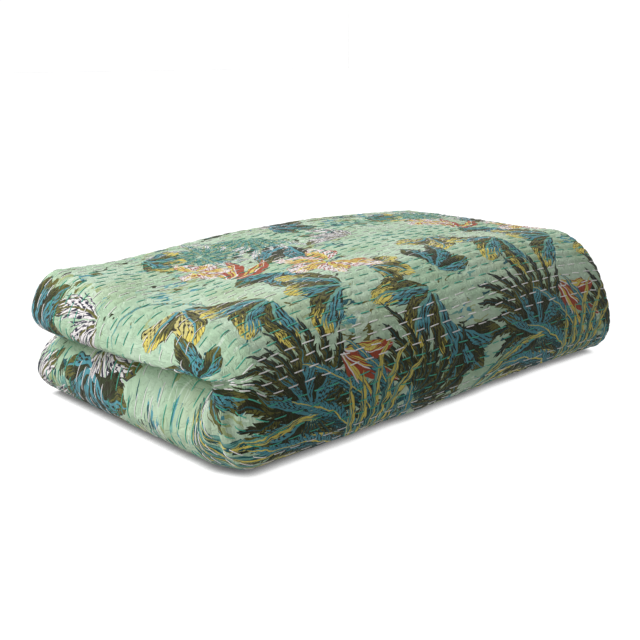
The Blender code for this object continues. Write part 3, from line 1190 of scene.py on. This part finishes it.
@dataclass(frozen=True)
class BrushedLeaf:
    """How a leaf of the print is drawn: a toothed outline, two sides, a tip, strokes and a rib.

    A waver is how strongly the brush's grain moves a line, and an edge is where it ends.
    """

    seed_stride: float = 13.7  # of the grain and the lots, from one spray to the next
    leaf_stride: float = 7.3  # of the grain, from one leaf to the next
    lot_stride: float = 12.99  # of the sine that a leaf's lot is drawn from
    lot_scale: float = 4375.85  # large, so that its last digits are a lot from 0 to 1
    spread: float = 0.34  # share of its length by which one leaf may be longer than another
    least: float = 0.72  # share of its length that the shortest leaf has
    root: float = 0.075  # share of its length that is missing at the spray's middle
    grain_along: float = 0.05  # changes of the grain in a millimetre
    grain_across: float = 0.42
    bluntness: float = 0.7  # less makes a leaf blunter at its ends
    tooth_pitch: float = 9.0  # millimetres from one tooth of the outline to the next
    edge: float = 0.35  # millimetres over which an ink ends
    side_waver: float = 6.0
    side_edge: tuple[float, float] = (2.6, 3.4)
    tip_waver: float = 0.9
    tip_edge: tuple[float, float] = (1.14, 1.18)
    stroke_pitch: float = 4.2  # millimetres from one drawn stroke to the next
    stroke_waver: float = 1.6
    stroke_width: tuple[float, float] = (0.26, 0.10)  # half of it, in pitches, at root and tip
    stroke_edge: float = 0.08
    thinned: float = 0.3  # share of the leaf from which its strokes grow thinner
    rim_waver: float = 0.5
    rim_edge: tuple[float, float] = (1.14, 1.2)
    rib_width: float = 0.09  # half of it at the root, as a share of the leaf's
    rib_loss: float = 0.06  # how much less that is at the tip
    rib_edge: float = 0.2  # millimetres

    def group(self, repeat: tuple[float, float]) -> Tree:
        """Makes the group of nodes that draws one spray of leaves, over and over.

        It holds plain numbers alone, because Cycles has little room for vectors kept between
        so many groups.

        Args:
            repeat: the size of the print's repeat along and across the rows.

        Returns:
            The group, with a colour and a mask as its outputs.
        """
        tree = bpy.data.node_groups.new("brushed leaves", "ShaderNodeTree")
        face = tree.interface
        for names, kind in ((SPRAY_NUMBERS, "NodeSocketFloat"), (SPRAY_INKS, "NodeSocketColor")):
            for name in names:
                face.new_socket(name, in_out="INPUT", socket_type=kind)
        face.new_socket("Colour", in_out="OUTPUT", socket_type="NodeSocketColor")
        face.new_socket("Mask", in_out="OUTPUT", socket_type="NodeSocketFloat")
        asked = tree.nodes.new("NodeGroupInput").outputs
        known = {name: asked[name] for name in SPRAY_NUMBERS + SPRAY_INKS}
        known = follow(tree, known, self._place(repeat) + self._outline() + self._inks())
        results = tree.nodes.new("NodeGroupOutput").inputs
        tree.links.new(known["colour"], results["Colour"])
        tree.links.new(known["mask"], results["Mask"])
        return tree

    def _place(self, repeat: tuple[float, float]) -> tuple[tuple, ...]:
        """Lists the steps that find which leaf a place is on, and where in it.

        Args:
            repeat: the size of the print's repeat along and across the rows.

        Returns:
            The steps: for each a result's name, what it does, and its inputs.
        """
        half_x, half_y = (side / 2 for side in repeat)
        return (
            ("own", "MULTIPLY", "Seed", self.seed_stride),
            # The place is measured from the nearest copy of the spray's middle, and turned with it.
            ("off", "SUBTRACT", "X", "Middle X"),
            ("near x", "WRAP", "off", half_x, -half_x),
            ("off", "SUBTRACT", "Y", "Middle Y"),
            ("near y", "WRAP", "off", half_y, -half_y),
            ("cosine", "COSINE", "Turn"),
            ("sine", "SINE", "Turn"),
            ("back", "MULTIPLY", "sine", -1.0),
            ("ahead", "MULTIPLY", "near x", "cosine"),
            ("ahead", "MULTIPLY_ADD", "near y", "sine", "ahead"),
            ("aside", "MULTIPLY", "near y", "cosine"),
            ("aside", "MULTIPLY_ADD", "near x", "back", "aside"),
            # The circle round it is shared out among its leaves, which bend with the distance.
            ("radius", "MULTIPLY", "ahead", "ahead"),
            ("radius", "MULTIPLY_ADD", "aside", "aside", "radius"),
            ("radius", "SQRT", "radius"),
            ("angle", "ARCTAN2", "aside", "ahead"),
            ("angle", "MULTIPLY_ADD", "radius", "Bend", "angle"),
            ("sector", "DIVIDE", "angle", "Step"),
            ("middle", "ROUND", "sector"),
            ("off", "SUBTRACT", "sector", "middle"),
            ("off", "MULTIPLY", "off", "Step"),
            ("places", "DIVIDE", 2 * math.pi, "Step"),
            ("half", "MULTIPLY", "places", 0.5),
            ("low", "MULTIPLY", "places", -0.5),
            ("leaf", "WRAP", "middle", "half", "low"),
            ("from middle", "ABSOLUTE", "leaf"),
            ("there", "LESS_THAN", "from middle", "Leaves"),
            # Each leaf draws its own lot, and its length by that.
            ("lot", "MULTIPLY_ADD", "leaf", self.lot_stride, "own"),
            ("lot", "SINE", "lot"),
            ("lot", "MULTIPLY", "lot", self.lot_scale),
            ("lot", "FRACT", "lot"),
            ("reach", "MULTIPLY_ADD", "lot", self.spread, self.least),
            ("reach", "MULTIPLY", "Length", "reach"),
            ("cosine", "COSINE", "off"),
            ("sine", "SINE", "off"),
            ("along", "MULTIPLY", "radius", "cosine"),
            ("across", "MULTIPLY", "radius", "sine"),
            ("share", "DIVIDE", "along", "reach"),
            ("share", "MULTIPLY_ADD", "share", 1 + self.root, -self.root),
            ("share", "MAXIMUM", "share", 0.0),
            ("share", "MINIMUM", "share", 1.0),
            ("off rib", "ABSOLUTE", "across"),
            # The brush's own grain runs along the leaf, and differs from leaf to leaf.
            ("grain", "MULTIPLY_ADD", "leaf", self.leaf_stride, "own"),
            ("grain", "MULTIPLY_ADD", "across", self.grain_across, "grain"),
            ("grain", "MULTIPLY_ADD", "along", self.grain_along, "grain"),
            ("grain", "GRAIN", "grain", 1.0, 1.0),
        )

    def _outline(self) -> tuple[tuple, ...]:
        """Lists the steps that draw the leaf's outline, with teeth that slant to its tip.

        Returns:
            The steps, as in _place.
        """
        return (
            ("full", "MULTIPLY", "share", math.pi),
            ("full", "SINE", "full"),
            ("full", "POWER", "full", self.bluntness),
            ("half width", "MULTIPLY", "full", "Width"),
            ("run", "MULTIPLY", "along", "Slant"),
            ("run", "SUBTRACT", "off rib", "run"),
            ("tooth", "MULTIPLY", "run", 1 / self.tooth_pitch),
            ("tooth", "FRACT", "tooth"),
            ("cut", "MULTIPLY", "tooth", "Comb"),
            ("cut", "SUBTRACT", 1.0, "cut"),
            ("half width", "MULTIPLY", "half width", "cut"),
            ("within", "SUBTRACT", "half width", "off rib"),
            ("inside", "STEP", "within", 0.0, self.edge),
            ("mask", "MULTIPLY", "inside", "there"),
        )

    def _inks(self) -> tuple[tuple, ...]:
        """Lists the steps that lay the inks over one another.

        Returns:
            The steps, as in _place.
        """
        return (
            ("side", "MULTIPLY_ADD", "grain", self.side_waver, "across"),
            ("side", "STEP", "side", *self.side_edge),
            ("colour", "INK", "side", "Lower", "Upper"),
            ("tip", "MULTIPLY_ADD", "grain", self.tip_waver, "share"),
            ("tip", "STEP", "tip", *self.tip_edge),
            ("colour", "INK", "tip", "colour", "Tip"),
            ("stroke", "MULTIPLY", "run", 1 / self.stroke_pitch),
            ("stroke", "MULTIPLY_ADD", "grain", self.stroke_waver, "stroke"),
            ("stroke", "PINGPONG", "stroke", 0.5),
            ("rim", "DIVIDE", "off rib", "half width"),
            ("weight", "STEP", "share", self.thinned, 1.0, *self.stroke_width),
            ("weight", "SUBTRACT", "weight", "stroke"),
            ("stroke", "STEP", "weight", 0.0, self.stroke_edge),
            ("colour", "INK", "stroke", "colour", "Stroke"),
            ("rim", "MULTIPLY_ADD", "grain", self.rim_waver, "rim"),
            ("rim", "STEP", "rim", *self.rim_edge),
            ("colour", "INK", "rim", "colour", "Stroke"),
            ("rib", "MULTIPLY_ADD", "share", -self.rib_loss, self.rib_width),
            ("rib", "MULTIPLY", "rib", "Width"),
            ("rib", "SUBTRACT", "rib", "off rib"),
            ("rib", "STEP", "rib", -self.rib_edge, self.rib_edge),
            ("colour", "INK", "rib", "colour", "Rib"),
        )


@dataclass(frozen=True)
class PrintedCotton:
    """Plain-woven cotton, block-printed with a made-up tropical foliage and washed soft.

    It shows as flat, matt inks with slightly broken edges over a crinkled ground.
    """

    repeat: tuple[float, float] = (350, 640)  # millimetres along and across the rows
    leaf: BrushedLeaf = BrushedLeaf()
    wobble: float = 5.0  # millimetres that a drawn line strays
    wobble_grain: float = 26.0
    patch: float = 55.0  # millimetres across a brushed patch of the ground
    patch_edge: tuple[float, float] = (0.35, 0.65)
    evenness: float = 0.55  # how far the patches are evened out again
    moss: float = 70.0  # millimetres across a mossy patch
    moss_edge: tuple[float, float] = (0.52, 0.66)
    moss_weight: float = 0.25
    dab_turn: float = 0.5  # how the dabs of undergrowth lean, in radians
    dab_grain: tuple[float, float] = (0.05, 0.17)  # dabs in a millimetre, along and across
    dab_curl: float = 0.9
    dab_ink: float = 15.0  # millimetres over which the dabs keep one ink
    thicket: float = 95.0  # millimetres across a thicket of dabs
    thicket_pitch: float = 330.0  # millimetres across the rows between bands of undergrowth
    thicket_at: float = 75.0  # where the first band is thickest
    thicket_swing: float = 0.14  # how strongly the bands show
    thicket_edge: tuple[float, float] = (0.52, 0.68)
    thinness: tuple[float, float] = (0.72, 0.50)  # height that a dab needs, in the open and there
    roughness: float = 0.88  # brushed, washed cotton is matt all over
    gloss: float = 0.25
    sheen: float = 0.15  # the soft fibre ends catch light at a glancing angle
    sheen_roughness: float = 0.5
    crinkle_grain: tuple[float, float] = (0.16, 0.07)  # in a millimetre, along and across
    crinkle_edge: float = 0.12  # less makes the crinkles' troughs narrower
    crinkle_depth: float = 0.0011
    crinkle_strength: float = 0.6
    yarn: float = 1.1  # millimetres; real yarn, 0.3 mm apart, is too fine to show here
    yarn_depth: float = 0.0003
    yarn_strength: float = 0.5

    def material(self) -> bpy.types.Material:
        """Makes the finish.

        Returns:
            The material.
        """
        material, shader = new_finish("washed block-printed cotton", {
            "Roughness": self.roughness, "Specular IOR Level": self.gloss,
            "Sheen Weight": self.sheen, "Sheen Roughness": self.sheen_roughness,
        })
        tree = material.node_tree
        metres = add_node(tree, "UVMap", uv_map=PRINT_MAP)
        place = add_node(tree, "VectorMath", {0: metres, "Scale": 1 / MM}, operation="SCALE")
        colour = self._ground(tree, place)
        leaves = self.leaf.group(self.repeat)
        drawn_at = add_node(tree, "SeparateXYZ", (self._unsteady(tree, place),)).node.outputs
        for number, spray in enumerate(SPRAYS):
            colour = self._print_spray(tree, drawn_at[:2], leaves, spray, number, colour)
        tree.links.new(colour, shader.inputs["Base Color"])
        tree.links.new(self._bumps(tree, place), shader.inputs["Normal"])
        return material

    def _ground(self, tree: Tree, place: Socket) -> Socket:
        """Draws the sage ground, with its brushed patches and small dabs of undergrowth.

        Args:
            tree: the material's nodes.
            place: the place on the cloth in millimetres.

        Returns:
            The ground's colour.
        """
        sage, pale, deep, mossy = (
            linear(ink.value) for ink in (Ink.SAGE, Ink.PALE_SAGE, Ink.DEEP_SAGE, Ink.MOSS)
        )
        turn = 2 * math.pi / self.thicket_pitch
        known = follow(tree, {"place": place}, (
            ("patch", "PATCHES", "place", 1 / self.patch, 3.0),
            ("patch", "STEP", "patch", *self.patch_edge),
            ("ground", "INK", "patch", deep, pale),
            ("ground", "INK", self.evenness, "ground", sage),
            ("moss", "PATCHES", "place", 1 / self.moss, 2.0),
            ("moss", "STEP", "moss", *self.moss_edge, 0.0, self.moss_weight),
            ("ground", "INK", "moss", "ground", mossy),
            ("strewn", "STRETCH", "place", (*self.dab_grain, 1), (0, 0, self.dab_turn)),
            ("dabs", "PATCHES", "strewn", 1.0, 1.0, self.dab_curl),
            ("cells", "CELLS", "place", 1 / self.dab_ink),
            ("thicket", "PATCHES", "place", 1 / self.thicket, 1.5, 0.4),
            ("across", "ACROSS", "place"),
            ("band", "MULTIPLY_ADD", "across", turn, -turn * self.thicket_at),
            ("band", "COSINE", "band"),
            ("thicket", "MULTIPLY_ADD", "band", self.thicket_swing, "thicket"),
            ("needed", "STEP", "thicket", *self.thicket_edge, *self.thinness),
            ("shown", "GREATER_THAN", "dabs", "needed"),
            ("lot", "LOT", "cells"),
        ))
        inks = add_node(tree, "ValToRGB", (known["lot"],))
        ramp = inks.node.color_ramp
        ramp.interpolation = "CONSTANT"
        stops = (Ink.OLIVE, Ink.SEA, Ink.DEEP_TEAL, Ink.PALE_SAGE, Ink.FOREST, Ink.MOSS, Ink.BLUE)
        for number, ink in enumerate(stops):
            stop = ramp.elements.new(number / len(stops)) if number else ramp.elements[0]
            stop.color = linear(ink.value)
        ramp.elements.remove(ramp.elements[-1])
        dabbed = {0: known["shown"], 6: known["ground"], 7: inks}
        return add_node(tree, "Mix", dabbed, **OVERPRINT)

    def _unsteady(self, tree: Tree, place: Socket) -> Socket:
        """Moves each place a little, so that drawn lines stray as a hand's do.

        Args:
            tree: the material's nodes.
            place: the place on the cloth in millimetres.

        Returns:
            The moved place.
        """
        stray = {"Vector": place, "Scale": 1 / self.wobble_grain, "Detail": 2.0}
        stray = add_node(tree, "TexNoise", stray, output="Color", noise_dimensions="2D")
        swing = 2 * self.wobble
        stray = (stray, (swing, swing, 0), (-self.wobble, -self.wobble, 0))
        stray = add_node(tree, "VectorMath", stray, operation="MULTIPLY_ADD")
        return add_node(tree, "VectorMath", (place, stray), operation="ADD")

    def _print_spray(
        self, tree: Tree, place: Sequence[Socket], leaves: Tree, spray: Spray, number: int,
        under: Socket,
    ) -> Socket:
        """Prints one spray, over and over, on what is already there.

        Args:
            tree: the material's nodes.
            place: how far along and across the cloth, in millimetres.
            leaves: the group that draws a spray.
            spray: what to draw.
            number: which spray it is, for its own unevenness.
            under: the colour so far.

        Returns:
            The colour with the spray on it.
        """
        drawn = tree.nodes.new("ShaderNodeGroup")
        drawn.node_tree = leaves
        values = {
            "Middle X": spray.at[0],
            "Middle Y": spray.at[1],
            "Turn": math.radians(spray.turn),
            "Leaves": spray.leaves / 2,
            "Step": 2 * math.pi / spray.places,
            "Length": spray.length,
            "Width": spray.width,
            "Bend": math.radians(spray.bend) / 100,
            "Comb": spray.comb,
            "Slant": spray.slant,
            "Seed": float(number),
        }
        values |= {name: linear(getattr(spray.inks, name.lower()).value) for name in SPRAY_INKS}
        for name, value in values.items():
            drawn.inputs[name].default_value = value
        for name, socket in zip("XY", place):
            tree.links.new(socket, drawn.inputs[name])
        printed = {0: drawn.outputs["Mask"], 6: under, 7: drawn.outputs["Colour"]}
        return add_node(tree, "Mix", printed, **OVERPRINT)

    def _bumps(self, tree: Tree, place: Socket) -> Socket:
        """Raises the crinkles left by washing and the yarn of the weave.

        Args:
            tree: the material's nodes.
            place: the place on the cloth in millimetres.

        Returns:
            The shading normal.
        """
        return follow(tree, {"place": place}, (
            ("stretched", "STRETCH", "place", (*self.crinkle_grain, 1)),
            ("crinkle", "PATCHES", "stretched", 1.0, 3.0, 0.6, 0.6),
            ("ridge", "ADD", "crinkle", -0.5),
            ("ridge", "ABSOLUTE", "ridge"),
            ("ridge", "MINIMUM", "ridge", self.crinkle_edge),
            ("ridge", "MULTIPLY", "ridge", 1 / self.crinkle_edge),
            ("creased", "RAISE", self.crinkle_strength, self.crinkle_depth, "ridge"),
            ("yarn", "PATCHES", "place", 1 / self.yarn, 2.0),
            ("woven", "RAISE", self.yarn_strength, self.yarn_depth, "yarn", "creased"),
        ))["woven"]


@dataclass(frozen=True)
class CottonThread:
    """Soft two-ply embroidery cotton, dyed through.

    It shows as a matt, slightly fuzzy line, a little uneven in colour from stitch to stitch.
    """

    roughness: float = 0.75
    sheen: float = 0.3
    ply: float = 1.2  # millimetres between two turns of the ply
    twist_depth: float = 0.0003
    twist_strength: float = 0.4
    tone_grain: float = 60.0  # changes of tone in a metre
    palest: float = 0.88  # share of its colour that the most faded stretch keeps

    def material(self, colour: ThreadColour) -> bpy.types.Material:
        """Makes the finish of one thread.

        Args:
            colour: the thread.

        Returns:
            The material.
        """
        material, shader = new_finish(f"{colour.name.lower()} cotton thread", {
            "Roughness": self.roughness, "Sheen Weight": self.sheen,
        })
        tree = material.node_tree
        place = add_node(tree, "TexCoord", output="Object")
        tone = {"Vector": place, "Scale": self.tone_grain, "Detail": 1.0}
        tone = add_node(tree, "TexNoise", tone)
        tone = add_node(tree, "MapRange", (tone, 0.3, 0.7, self.palest, 1.0))
        dyed = {0: 1.0, 6: linear(colour.value), 7: tone}
        dyed = add_node(tree, "Mix", dyed, blend_type="MULTIPLY", **OVERPRINT)
        tree.links.new(dyed, shader.inputs["Base Color"])
        twist = {"Vector": place, "Scale": 1 / (self.ply * MM), "Detail": 1.0}
        twist = add_node(tree, "TexNoise", twist)
        bump = {"Strength": self.twist_strength, "Distance": self.twist_depth, "Height": twist}
        tree.links.new(add_node(tree, "Bump", bump), shader.inputs["Normal"])
        return material


@dataclass(frozen=True)
class StudioPaper:
    """White background paper. It shows as an even white, with a soft shade close by the quilt."""

    albedo: str = "606060"
    roughness: float = 0.95
    glow: float = 1.0  # stands in for the lamps that are aimed at the paper alone
    spill: float = 0.40  # share of that light that reaches the quilt, as flags hold back the rest
    shade_reach: float = 0.009  # how far from the quilt those lamps' light is lost
    shade: tuple[float, float] = (0.15, 0.88)  # openness of the paper there, darkest and clear
    darkest: float = 0.10  # share of the glow left where the quilt meets the paper

    def material(self) -> bpy.types.Material:
        """Makes the finish.

        Returns:
            The material.
        """
        material, shader = new_finish("matt white background paper", {
            "Base Color": linear(self.albedo), "Roughness": self.roughness,
            "Emission Color": (1, 1, 1, 1),
        })
        tree = material.node_tree
        reach = {"Distance": self.shade_reach}
        openness = add_node(tree, "AmbientOcclusion", reach, output="AO", samples=8)
        glow = (openness, *self.shade, self.glow * self.darkest, self.glow)
        glow = add_node(tree, "MapRange", glow)
        seen = add_node(tree, "LightPath", output="Is Camera Ray")
        share = add_node(tree, "MapRange", (seen, 0.0, 1.0, self.spill, 1.0))
        glow = add_node(tree, "Math", (glow, share), operation="MULTIPLY")
        tree.links.new(glow, shader.inputs["Emission Strength"])
        return material


@dataclass
class Studio:
    """The floor, the light and the camera."""

    camera_at: tuple[float, float, float] = (-0.7735, -0.7808, 0.3572)
    camera_down: float = 14.96  # degrees
    camera_turn: float = -43.42  # degrees from +Y, to the left
    lens: float = 56.75  # millimetres
    sensor: float = 36.0
    floor_side: float = 30.0
    floor_rim: float = 2.0  # height that the paper turns up to, far off, so that its edge is hidden
    key_at: tuple[float, float, float] = (-1.6, 1.1, 2.2)
    key_side: float = 1.4
    key_power: float = 39.5
    sky_behind: float = 1.6
    sky_before: float = 0.08
    sky_from: tuple[float, float, float] = (-0.45, 0.89, 0.0)  # the way to its bright side
    sky_edge: tuple[float, float] = (-0.3, 0.45)  # share of that way where it begins and ends
    paper: StudioPaper = StudioPaper()

    def add_camera(self) -> None:
        """Sets the camera where the photograph was taken from."""
        data = bpy.data.cameras.new("camera")
        data.lens, data.sensor_width = self.lens, self.sensor
        camera = put_in_scene("camera", data)
        down, turn = math.radians(self.camera_down), math.radians(self.camera_turn)
        ahead = Vector(
            (-math.sin(turn) * math.cos(down), math.cos(turn) * math.cos(down), -math.sin(down))
        )
        camera.location = self.camera_at
        camera.rotation_euler = ahead.to_track_quat("-Z", "Y").to_euler()
        bpy.context.scene.camera = camera

    def add_floor(self) -> bpy.types.Object:
        """Lays the paper under the quilt, turned up at its far edges.

        Returns:
            The floor.
        """
        half = self.floor_side / 2
        mesh = bpy.data.meshes.new("floor")
        around = [(-half, -half), (half, -half), (half, half), (-half, half)]
        corners = [(x, y, z) for z in (0, self.floor_rim) for x, y in around]
        rim = [((at + 1) % 4, at, at + 4, (at + 1) % 4 + 4) for at in range(4)]
        mesh.from_pydata(corners, [], [(0, 1, 2, 3), *rim])
        mesh.materials.append(self.paper.material())
        return put_in_scene("floor", mesh)

    def add_light(self) -> None:
        """Adds a large soft lamp behind the left end, and a sky that is darker before the front."""
        data = bpy.data.lights.new("key", "AREA")
        data.shape, data.size, data.energy = "SQUARE", self.key_side, self.key_power
        lamp = put_in_scene("key", data)
        lamp.location = self.key_at
        lamp.rotation_euler = (-Vector(self.key_at)).to_track_quat("-Z", "Y").to_euler()
        world = bpy.data.worlds.new("studio")
        world.use_nodes = True
        tree = world.node_tree
        way = add_node(tree, "TexCoord", output="Generated")
        way = (way, self.sky_from)
        toward = add_node(tree, "VectorMath", way, output="Value", operation="DOT_PRODUCT")
        level = (toward, *self.sky_edge, self.sky_before, self.sky_behind)
        level = add_node(tree, "MapRange", level)
        tree.links.new(level, tree.nodes["Background"].inputs["Strength"])
        tree.nodes["Background"].inputs["Color"].default_value = (1, 1, 1, 1)
        bpy.context.scene.world = world
        bpy.context.scene.view_settings.view_transform = "Standard"


def main() -> None:
    """Builds the quilt, dresses it and sets up the studio."""
    logging.basicConfig(level=logging.INFO, format="%(message)s")
    studio = Studio()
    studio.add_camera()
    studio.add_floor()
    studio.add_light()

    sheet = QuiltSheet(FoldedStack())
    quilt = sheet.build()
    quilt.data.materials.append(PrintedCotton().material())
    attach(quilt, "root")
    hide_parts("quilt")
    LOG.info("%s: %d faces", quilt.name, len(quilt.data.polygons))

    threads = Threads(sheet)
    shown = threads.showing(quilt)
    for colour in ThreadColour:
        piece = threads.build(colour, shown)
        piece.data.materials.append(CottonThread().material(colour))
        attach(piece, "root")
        f"{colour.name.lower()}_thread"
        LOG.info("%s: %d faces", piece.name, len(piece.data.polygons))


if __name__ == "__main__":
    main()
